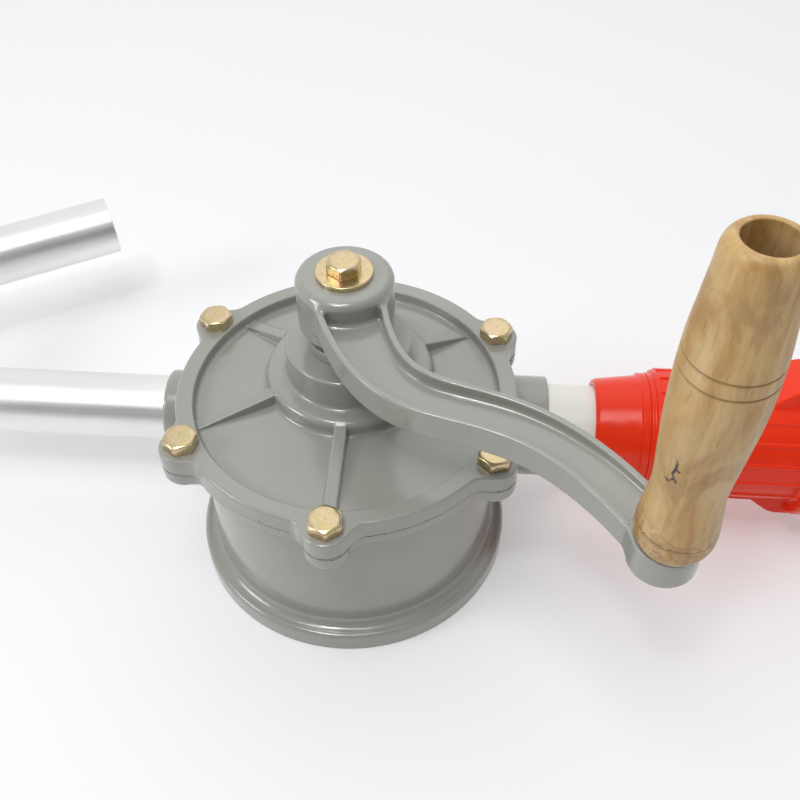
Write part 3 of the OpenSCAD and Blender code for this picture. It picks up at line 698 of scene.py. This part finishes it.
def wood():
    """Turned light wood under thin varnish, grain along the grip."""
    m = Look("grip_wood", Specular_IOR_Level=0.42, Coat_Weight=0.25, Coat_Roughness=0.25)
    flow = m.attribute("flow").outputs["Vector"]
    height = m.add("ShaderNodeSeparateXYZ", {0: flow}).outputs[2]
    height = m.math("MULTIPLY", m.math("SUBTRACT", height, GRIP_FOOT * MM), 1000.0)      # millimetres
    streak = m.noise(9, 5, 0.6, m.stretched((1, 1, 0.16), flow), warp=0.6)
    fine = m.noise(1.6, 4, 0.65, m.stretched((1, 1, 0.05), flow))
    patch = m.noise(24, 4, 0.6, m.stretched((1, 1, 0.45), flow), warp=1.2)
    base = m.ramp(streak, [(0.26, (0.34, 0.175, 0.045)), (0.40, (0.465, 0.270, 0.088)),
                           (0.54, (0.56, 0.365, 0.147)), (0.74, (0.65, 0.475, 0.240))])
    # pale and brown patches, pores
    bleached = m.noise(17, 4, 0.6, m.stretched((1, 1, 0.6), flow), warp=1.0)
    bleached = m.ramp(bleached, [(0.50, 0.0), (0.66, 1.0)], smooth=True)
    base = m.tint(base, bleached, 0.45, (0.545, 0.405, 0.225))
    base = m.tint(base, m.ramp(patch, [(0.47, 0.0), (0.65, 1.0)], smooth=True), 0.68, (0.32, 0.175, 0.055))
    pores = m.ramp(fine, [(0.54, 0.0), (0.72, 1.0)])
    base = m.tint(base, pores, 0.35, (0.25, 0.145, 0.06))
    # burnished grooves
    for groove in GROOVES:
        off = m.math("ABSOLUTE", m.math("SUBTRACT", height, groove))
        off = m.math("ADD", off, m.math("MULTIPLY", m.noise(2.5, 3), 0.5))
        base = m.tint(base, m.ramp(off, [(0.45, 1.0), (1.15, 0.0)]), 0.62, (0.21, 0.115, 0.042))
    # darker down one side: thicker varnish there, and painted shade along the grip's left edge
    side = m.vector("DOT_PRODUCT", {0: flow, 1: (-80.0, 12.0, 0)}, "Value")
    side = m.ramp(side, [(0.72, 0.0), (1.0, 1.0)])
    varnish = m.math("MULTIPLY", side, m.ramp(patch, [(0.35, 0.4), (0.6, 1.0)]))
    base = m.tint(base, varnish, 0.55, (0.40, 0.205, 0.045))
    ticks = m.ramp(m.noise(1.3, 3, 0.6, m.stretched((1, 1, 0.22), flow)), [(0.63, 0.0), (0.70, 1.0)])
    base = m.tint(base, ticks, 0.40, (0.20, 0.11, 0.045))
    # stained foot, with a ragged dark line round it
    ragged = m.noise(5, 5, 0.7, warp=1.5)
    low = m.ramp(m.math("MULTIPLY", height, 0.04), [(0.25, 1.0), (0.95, 0.0)], smooth=True)
    stain = m.math("MULTIPLY", low, m.ramp(ragged, [(0.42, 0.0), (0.60, 1.0)]))
    base = m.tint(base, stain, 0.70, (0.24, 0.115, 0.030))
    off = m.math("SUBTRACT", m.math("SUBTRACT", height, 8.4), m.math("MULTIPLY", ragged, 4.0))
    line = m.ramp(m.math("ABSOLUTE", off), [(0.12, 1.0), (0.42, 0.0)])
    base = m.tint(base, line, 0.75, (0.12, 0.06, 0.02))
    # a small knot whose cracks branch, bent by noise
    bend = m.add("ShaderNodeTexNoise", {"Vector": flow, "Scale": 500.0, "Detail": 4.0}).outputs["Color"]
    bent = m.vector("ADD", {0: flow, 1: m.vector("SCALE", {0: bend, 3: 2 * CRACK_BEND * MM})})
    gap = 9.0
    for start, end in CRACKS:
        gap = m.math("MINIMUM", gap, m.segment(bent, on_grip(*start), on_grip(*end)))
    gap = m.math("MULTIPLY", gap, 1000.0)
    base = m.tint(base, m.ramp(gap, [(0.3, 1.0), (1.0, 0.0)], smooth=True), 0.35, (0.20, 0.12, 0.08))
    base = m.tint(base, m.ramp(gap, [(0.27, 1.0), (0.58, 0.0)]), 0.95, (0.020, 0.012, 0.012))
    rough = m.ramp(fine, [(0.3, 0.42), (0.7, 0.60)])
    relief = m.bump(m.math("SUBTRACT", 1.0, pores), 0.035)
    waves = m.bump(streak, 0.15, under=relief)
    return m.set(Base_Color=base, Roughness=rough, Normal=waves)


def metal(name, dark, light):
    """Metal turned about the shaft: tone clouds and fine tool marks round it."""
    m = Look(name, Metallic=1.0)
    marks = m.noise(0.7, 3, 0.6, m.stretched((0.05, 0.05, 1)))
    return m.set(Base_Color=m.mix(m.noise(9, 4), dark, light),
                 Roughness=m.ramp(marks, [(0.3, 0.25), (0.7, 0.42)]), Normal=m.bump(marks, 0.012))


def soft(name, dark, light, size, rough, relief, metallic=0.0):
    """Rubber, fibre, packing or iron: mottled, with a grain of that size."""
    m = Look(name, Metallic=metallic)
    grain = m.noise(size, 4, 0.65)
    base = m.mix(m.ramp(grain, [(0.3, 0.0), (0.7, 1.0)]), dark, light)
    return m.set(Base_Color=base, Roughness=m.ramp(m.noise(size * 4, 3), [(0.3, rough[0]), (0.7, rough[1])]),
                 Normal=m.bump(grain, relief))


PAINTED_FROM = 71.5  # the gasket is painted outside this radius


def gasket():
    """Dark fibre sheet whose outer edge is painted over, with small chips."""
    m = Look("gasket_fibre", Roughness=0.6)
    fibre = m.noise(0.8, 4, 0.65)
    base = m.mix(fibre, (0.035, 0.035, 0.033), (0.09, 0.088, 0.08))
    radius = m.vector("LENGTH", {0: m.stretched((1, 1, 0))}, "Value")
    kept = m.math("LESS_THAN", m.noise(2.6, 4, 0.6), 0.60)
    base = m.tint(base, m.math("GREATER_THAN", radius, PAINTED_FROM * MM), kept, (0.27, 0.272, 0.248))
    return m.set(Base_Color=base, Normal=m.bump(fibre, 0.02))


LOOKS = {
    "painted_casting": paint(),
    "gasket_fibre": gasket(),
    "yellow_zinc": zinc(),
    "bronze": metal("bronze", (0.55, 0.34, 0.14), (0.68, 0.46, 0.22)),
    "packing": soft("packing", (0.16, 0.13, 0.07), (0.34, 0.29, 0.18), 1.2, (0.6, 0.8), 0.12),
    "bright_steel": metal("bright_steel", (0.50, 0.49, 0.47), (0.66, 0.65, 0.62)),
    "seal_rubber": soft("seal_rubber", (0.012, 0.012, 0.012), (0.035, 0.035, 0.034), 1.0, (0.42, 0.6), 0.02),
    "pale_plastic": pale_plastic(),
    "rotor_iron": soft("rotor_iron", (0.18, 0.175, 0.17), (0.32, 0.315, 0.305), 0.9, (0.38, 0.55), 0.03,
                       metallic=1.0),
    "vane_plastic": soft("vane_plastic", (0.58, 0.54, 0.42), (0.70, 0.66, 0.54), 1.5, (0.35, 0.5), 0.02),
    "grip_wood": wood(),
    "spout_aluminium": aluminium(),
    "red_plastic": red_plastic(),
}
SLOT_OF = {s["node"]: s["material_slot"] for s in frame["record"]["subparts"]}


def piece(mesh, body, *nodes):
    """Adds a skin that rides on a body in place of CAD nodes, in the finish of the first one's slot."""
    slot = SLOT_OF[nodes[0]]
    obj = bpy.data.objects.new(mesh.name, mesh)
    bpy.context.scene.collection.objects.link(obj)
    mesh.materials.append(LOOKS[slot])
    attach(obj, body)
    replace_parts(obj, *nodes)
    return obj


# ---- castings ----

COVER_REACH = 83.2  # just outside the ears
COVER_BOX = ((-COVER_REACH, -COVER_REACH, COVER_Z - PLUG_H), (COVER_REACH, COVER_REACH, NECK_TOP))
# name, field, its box, grid step, most triangles, body, node
CASTINGS = (
    ("casing_casting", casing_field, (CASING_LO, CASING_HI), 0.85, 100000, "casing", "body_casing"),
    ("cover_casting", cover_field, COVER_BOX, 0.62, 120000, "casing", "front_cover"),
    ("crank_casting", arm_field, node_box("crank_arm"), 0.5, 100000, "crank", "crank_arm"),
    ("adapter_moulding", adapter_field, (ADAPTER_LO, ADAPTER_HI), 0.55, 120000, "adapter", "bung_adapter"),
)
for name, field, (low, high), step, most, body, node in CASTINGS:
    piece(field_mesh(name, field, low, high, step, most), body, node)


GASKET_POINTS = 720


def gasket_mesh():
    """Thin gasket whose edge follows the cover's outline, a hair inside it."""
    turn = np.linspace(0, 2 * math.pi, GASKET_POINTS, endpoint=False)
    near, far = np.full(GASKET_POINTS, 60.0), np.full(GASKET_POINTS, 90.0)
    for _ in range(30):
        mid = (near + far) / 2
        out = rim_plan(mid * np.cos(turn), mid * np.sin(turn), FOOT_R - GASKET_STEP, EAR_BLEND) > 0
        near, far = np.where(out, near, mid), np.where(out, mid, far)
    edge = near - 0.03
    hole = CHAMBER_R + 0.6
    inner = CHAMBER_Y * np.sin(turn) + np.sqrt(hole ** 2 - (CHAMBER_Y * np.cos(turn)) ** 2)
    loops = [(inner, CASING_TOP), (edge, CASING_TOP), (edge, COVER_Z), (inner, COVER_Z)]
    points = np.concatenate([np.stack([r * np.cos(turn), r * np.sin(turn), 0 * turn + z], 1)
                             for r, z in loops])
    faces = grid_faces(len(loops), GASKET_POINTS, closed=True)[:, (0, 3, 2, 1)]
    mesh = make_mesh("gasket_sheet", points, faces)
    mesh.set_sharp_from_angle(angle=math.radians(40))
    return mesh


piece(gasket_mesh(), "casing", "cover_gasket")


# ---- fasteners ----

HEX_FLAT, HEX_H, M8_R = 6.5, 5.3, 4.0
HEX_ROUND = 0.30  # the corners of a head are rounded by this much
CHAMFER_R, CHAMFER_FALL = 5.75, 0.62  # a head's top falls away outside this radius, this steeply
# one side of a head: the angles of its points from its middle
HEX_SIDE = np.radians([-30, -28.8, -27.2, -22, -12, 0, 12, 22, 27.2, 28.8])
HEX_RINGS = (0.03, 0.35, 0.6, 0.78, 0.84, 0.88, 0.91, 0.94, 0.97)  # rings of points on a head's top


def bolt_skin(x, y, seat, turn, length):
    """M8 hexagon bolt: rings of points from the middle of the head's top to the end of its shank."""
    phi = np.concatenate([HEX_SIDE + math.pi / 3 * k + math.pi / 6 for k in range(6)]) + math.radians(turn)
    off = np.tile(np.abs(HEX_SIDE), 6)
    corner = np.clip((off - math.radians(26.5)) / math.radians(3.5), 0, 1)
    reach = HEX_FLAT / np.cos(off) - HEX_ROUND * corner ** 2

    def top(r):
        over = r - CHAMFER_R
        return HEX_H - CHAMFER_FALL * (over + np.sqrt(over ** 2 + 0.05)) / 2

    edge, shank = top(reach), M8_R + 0 * reach
    rings = [(f * reach, top(f * reach)) for f in HEX_RINGS]
    rings += [(reach - 0.10, edge), (reach - 0.03, edge - 0.08), (reach, edge - 0.24), (reach, edge - 0.5),
              (reach, 0.6), (reach - 0.04, 0.15), (reach - 0.2, 0.0), (shank + 0.2, 0.0), (shank, -0.2),
              (shank, -length + 0.6), (shank - 0.6, -length), (0.05 + 0 * reach, -length)]
    points = [np.stack([x + r * np.cos(phi), y + r * np.sin(phi), seat + z + 0 * r], 1) for r, z in rings]
    return np.concatenate(points), grid_faces(len(rings), len(phi), closed=False)


def bolts_mesh(name, bolts):
    skins = [bolt_skin(*b) for b in bolts]
    start = np.cumsum([0] + [len(p) for p, _ in skins[:-1]])
    mesh = make_mesh(name, np.concatenate([p for p, _ in skins]),
                     np.concatenate([f + s for (_, f), s in zip(skins, start)]))
    mesh.set_sharp_from_angle(angle=math.radians(50))
    return mesh


# which way a corner of each head points, as the bolts were left when tightened
HEAD_TURNS = (8, 45, 9, 22, 38, 18)
CRANK_HEAD_TURN, COVER_BOLT_L, CRANK_BOLT_L, WASHER_H = 25, 16.0, 20.0, 2.0
EAR_ANGLES = [math.radians(30 + 60 * k) for k in range(EARS)]
piece(bolts_mesh("cover_screws", [
    (EAR_CIRCLE * math.cos(a), EAR_CIRCLE * math.sin(a), RIM_Z, turn, COVER_BOLT_L)
    for a, turn in zip(EAR_ANGLES, HEAD_TURNS)]), "casing", "cover_bolts")
piece(bolts_mesh("crank_screw", [(*SHAFT, HUB_TOP + WASHER_H, CRANK_HEAD_TURN, CRANK_BOLT_L)]),
      "crank", "crank_bolt")


def ring_piece(name, path, corners, body, *nodes, sides=128, longest=1e9):
    """Piece swept round a path. Each corner of its section is its place, its radius and its rounding."""
    corners = np.array(corners, float)
    points, normals = rounded(corners[:, :2], corners[:, 2], longest)
    return piece(spin(name, path, points, normals, sides), body, *nodes)


ring_piece("crank_disc_washer", upright(*SHAFT),
           [(HUB_TOP, M8_R + 0.3, 0.2), (HUB_TOP + WASHER_H, M8_R + 0.3, 0.3),
            (HUB_TOP + WASHER_H, 11.8, 0.5), (HUB_TOP, 11.8, 0.3)], "crank", "crank_washer")
ring_piece("gland", upright(*SHAFT),
           [(NECK_TOP - 5, 9.05, 0.4), (NECK_TOP + 5, 9.05, 0.5), (NECK_TOP + 5, 17, 0.7),
            (NECK_TOP, 17, 0.3), (NECK_TOP, 13.45, 0.2), (NECK_TOP - 5, 13.45, 0.3)], "casing", "gland_ring")


# ---- tubes ----

TUBE_FROM, TUBE_TO = [corner[0] for corner in node_box("suction_tube")]
SPIGOT_X = TUBE_TO - 30  # from here the tube is turned down outside and reamed inside
ring_piece("suction_pipe", port_line,
           [(TUBE_FROM, 17, 0.3), (SPIGOT_X, 17, 0.15), (SPIGOT_X, 17.5, 0.15), (TUBE_TO, 17.5, 0.4),
            (TUBE_TO, 19, 0.6), (SPIGOT_X, 19, 0.2), (SPIGOT_X, 20, 0.5), (TUBE_FROM, 20, 0.6)],
           "casing", "suction_tube", longest=8)

COLLAR_X = node_box("bung_collar")[0][0]
COLLAR_SECTION = ((0, 20.4, 0.5), (2, 20.4, 0.3), (2, 22.3, 0.2), (9.6, 22.3, 0.2), (9.6, 22.98, 0.2),
                  (23.9, 22.98, 0.3), (23.9, 27.2, 0.25), (20.6, 27.2, 0.6), (20.0, 26.1, 0.9),
                  (1.6, 23.7, 0.5), (0, 22.9, 0.5))
ring_piece("clamp_collar", port_line, [(COLLAR_X + x, r, soften) for x, r, soften in COLLAR_SECTION],
           "collar", "bung_collar", longest=5)

SPOUT_R, SPOUT_WALL, BEND_R = 15.5, 1.5, 50.0
BEND_ANGLE, TILT = math.radians(152), math.radians(4)  # turn of the bend, and how far it leans up
SPOUT_X = node_box("spout_inlet")[1][0]
STRAIGHT = SPOUT_X - node_box("spout_inlet")[0][0]
ARC, LEG = BEND_R * BEND_ANGLE, 78.0
SPOUT_END = STRAIGHT + ARC + LEG


def spout_path(s):
    """Middle line of the spout from its end in the casing: straight, round the bend, then the open leg."""
    s = np.asarray(s, float)
    turn = np.clip((s - STRAIGHT) / BEND_R, 0, BEND_ANGLE)
    leg = np.maximum(s - STRAIGHT - ARC, 0)
    x = SPOUT_X - np.minimum(s, STRAIGHT) - BEND_R * np.sin(turn) - leg * np.cos(turn)
    v = BEND_R * (1 - np.cos(turn)) + leg * np.sin(turn)
    tx, tv = -np.cos(turn), np.sin(turn)
    ct, st = math.cos(TILT), math.sin(TILT)
    centre = np.stack([x, PORT_Y + v * ct, PORT_Z + v * st], -1)
    tangent = np.stack([tx, tv * ct, tv * st], -1)
    side = np.stack([-tv, tx * ct, tx * st], -1)
    return centre, tangent, side, np.cross(tangent, side)


ring_piece("spout_pipe", spout_path,
           [(0, SPOUT_R - SPOUT_WALL, 0.4), (SPOUT_END, SPOUT_R - SPOUT_WALL, 0.35),
            (SPOUT_END, SPOUT_R, 0.45), (0, SPOUT_R, 0.5)],
           "spout", "spout_inlet", "spout_bend", "spout_leg", sides=96, longest=2.5)


# ---- grip ----

# outline of the grip: heights above its foot, and radii
GRIP_HEIGHTS = np.array([1.5, 4, 7.5, 13, 20, 26, 33, 42, 50, 62, 76, 88, 102, 112, 115])
GRIP_RADII = np.array([12.2, 13.1, 13.4, 13, 12.3, 11.7, 11.8, 12.5, 13.1, 13.9, 14.1, 13.7, 12.5,
                       11.75, 11.6])
GRIP_L, DOME_H, DOME_W = GRIP_TOP - GRIP_FOOT, 6.0, 3.3
GROOVE_DEPTH, GROOVE_WIDTH = 0.35, 0.36
WRENCH_R, BORE_R, SPINDLE_R = 7.4, 7.0, 4.6  # the hole from the top down, in steps


def grip_outline(h):
    """Radius of the turned grip at those heights, smooth through the outline's points."""
    slopes = np.gradient(GRIP_RADII, GRIP_HEIGHTS)
    k = np.clip(np.searchsorted(GRIP_HEIGHTS, h, side="right") - 1, 0, len(GRIP_HEIGHTS) - 2)
    w = GRIP_HEIGHTS[k + 1] - GRIP_HEIGHTS[k]
    t = (h - GRIP_HEIGHTS[k]) / w
    r = ((2 * t ** 3 - 3 * t ** 2 + 1) * GRIP_RADII[k] + (t ** 3 - 2 * t ** 2 + t) * w * slopes[k]
         + (-2 * t ** 3 + 3 * t ** 2) * GRIP_RADII[k + 1] + (t ** 3 - t ** 2) * w * slopes[k + 1])
    for groove in GROOVES:
        r = r - GROOVE_DEPTH * np.exp(-((h - groove) / GROOVE_WIDTH) ** 2)
    return r


def out_of_round(s, turn):
    """Hand-turned wood is a little out of round."""
    up = (s - GRIP_FOOT) / GRIP_L
    return 0.10 * np.sin(2 * turn + 3 * up) + 0.06 * np.sin(3 * turn - 9 * up + 1) \
        + 0.05 * np.sin(14 * up + turn)


def grip_mesh():
    low, high, top_r = GRIP_HEIGHTS[0], GRIP_HEIGHTS[-1], GRIP_RADII[-1]
    h = np.unique(np.concatenate([np.arange(low, high + 0.01, 1.0)] +
                                 [g + np.linspace(-1.2, 1.2, 17) for g in GROOVES] + [[high]]))
    dome = np.radians(np.arange(7.5, 90.1, 7.5))
    outer = [(0.0, 10.6), (0.25, 11.1), (0.8, 11.75)] + list(zip(h, grip_outline(h)))
    outer += [(GRIP_L - DOME_H + DOME_H * math.sin(a), top_r - DOME_W + DOME_W * math.cos(a)) for a in dome]
    # down into the hole, whose mouth is eased
    ease = np.radians(np.arange(15, 90.1, 15))
    inner = [(GRIP_L - 0.5 + 0.5 * math.cos(a), WRENCH_R + 0.5 * (1 - math.sin(a))) for a in ease]
    inner += [(GRIP_L - depth, r) for depth, r in (
        (10, WRENCH_R), (30, WRENCH_R), (50.6, WRENCH_R), (51, WRENCH_R - 0.05), (51, BORE_R + 0.05),
        (51.3, BORE_R), (59.7, BORE_R), (60, BORE_R - 0.2), (60, SPINDLE_R + 0.3), (60.3, SPINDLE_R),
        (90, SPINDLE_R))]
    inner += [(0.3, SPINDLE_R), (0.0, SPINDLE_R + 0.3)]
    loop = np.array(outer + inner)[::-1]
    loop[:, 0] += GRIP_FOOT
    step = np.roll(loop, -1, 0) - np.roll(loop, 1, 0)
    normals = unit(np.stack([step[:, 1], -step[:, 0]], 1))
    return spin("turned_grip", upright(*GRIP), loop, normals, 120, out_of_round)


piece(grip_mesh(), "grip", "wood_grip")

# the other CAD nodes keep their shape and get their slot's finish
replaced = {n for o in bpy.data.objects for n in o.get("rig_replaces", [])}
for name, node in frame["nodes"].items():
    if name not in replaced:
        node.data.materials.clear()
        node.data.materials.append(LOOKS[SLOT_OF[name]])


# ---- floor, light and camera ----
# Metres from here on, but mm for the lens and sensor.

FLOOR_HALF = 4.0
LAMPS_AIM = Vector((0.02, -0.02, 0.06))
# name, direction towards the lamp, distance, diameter, power
LAMPS = (("softbox", (-0.12, -0.20, 0.97), 1.6, 0.70, 7.0),
         ("key", (-11, -23, 57), 1.6, 0.16, 3.0),
         ("window", (-1.0, -0.35, 0.7), 1.7, 0.6, 6.0),
         ("backdrop", (0.1, 0.9, 1.3), 1.9, 1.5, 2.5))
# the room is bright behind the pump (0) and dark in front of it (1)
ROOM_DIRECTION, ROOM_STRENGTH = (0.08, -0.5, 0.0), 0.95
ROOM_GREYS = ((0.0, 1.0), (0.5, 0.64), (0.8, 0.32), (1.0, 0.18))
LENS, SENSOR, VIEW_AT = 44.24, 36.0, (0.045828, -0.290761, 0.397734)
VIEW_RIGHT, VIEW_UP = Vector((0.99739, 0.07193, -0.00616)), Vector((-0.04819, 0.72686, 0.68509))


def stand(name, data):
    """Adds an object that isn't part of the pump."""
    obj = bpy.data.objects.new(name, data)
    bpy.context.scene.collection.objects.link(obj)
    return obj


def floor_look():
    m = Look("studio_floor", Roughness=0.55, Specular_IOR_Level=0.3, Emission_Color=(1, 1, 1, 1),
             Emission_Strength=0.24)
    return m.set(Base_Color=m.mix(m.noise(400, 2), (0.66, 0.665, 0.675), (0.68, 0.685, 0.695)))


def lamp(name, direction, distance, size, power):
    """Round area light that looks at the pump from that direction."""
    data = bpy.data.lights.new(name, "AREA")
    data.shape, data.size, data.energy = "DISK", size, power
    obj = stand(name, data)
    toward = Vector(direction).normalized()
    obj.location = LAMPS_AIM + toward * distance
    obj.rotation_euler = toward.to_track_quat("Z", "Y").to_euler()


def room():
    """World whose grey follows the direction."""
    world = bpy.data.worlds.new("studio")
    world.use_nodes = True
    nodes, links = world.node_tree.nodes, world.node_tree.links
    toward = nodes.new("ShaderNodeVectorMath")
    toward.operation = "DOT_PRODUCT"
    links.new(nodes.new("ShaderNodeTexCoord").outputs["Generated"], toward.inputs[0])
    toward.inputs[1].default_value = ROOM_DIRECTION
    place = nodes.new("ShaderNodeMath")
    links.new(toward.outputs["Value"], place.inputs[0])
    place.inputs[1].default_value = 0.5
    sky = nodes.new("ShaderNodeValToRGB")
    steps = sky.color_ramp.elements
    for position, _ in ROOM_GREYS[1:-1]:
        steps.new(position)
    for step, (position, grey) in zip(steps, ROOM_GREYS):
        step.position = position
        step.color = (grey, grey, grey * 1.01, 1)
    links.new(place.outputs[0], sky.inputs[0])
    links.new(sky.outputs[0], nodes["Background"].inputs[0])
    nodes["Background"].inputs[1].default_value = ROOM_STRENGTH
    return world


floor_mesh = bpy.data.meshes.new("studio_floor")
floor_mesh.from_pydata([(-FLOOR_HALF, -FLOOR_HALF, 0), (FLOOR_HALF, -FLOOR_HALF, 0),
                        (FLOOR_HALF, FLOOR_HALF, 0), (-FLOOR_HALF, FLOOR_HALF, 0)], [], [(0, 1, 2, 3)])
floor_mesh.materials.append(floor_look())
stand("studio_floor", floor_mesh)
for values in LAMPS:
    lamp(*values)
bpy.context.scene.world = room()

camera = stand("camera", bpy.data.cameras.new("camera"))
camera.data.sensor_width, camera.data.lens = SENSOR, LENS
camera.data.clip_start, camera.data.clip_end = 0.01, 20
turn = Matrix((VIEW_RIGHT, VIEW_UP, VIEW_RIGHT.cross(VIEW_UP))).transposed().to_4x4()
camera.matrix_world = Matrix.Translation(VIEW_AT) @ turn
bpy.context.scene.camera = camera
bpy.context.scene.view_settings.view_transform = "Standard"
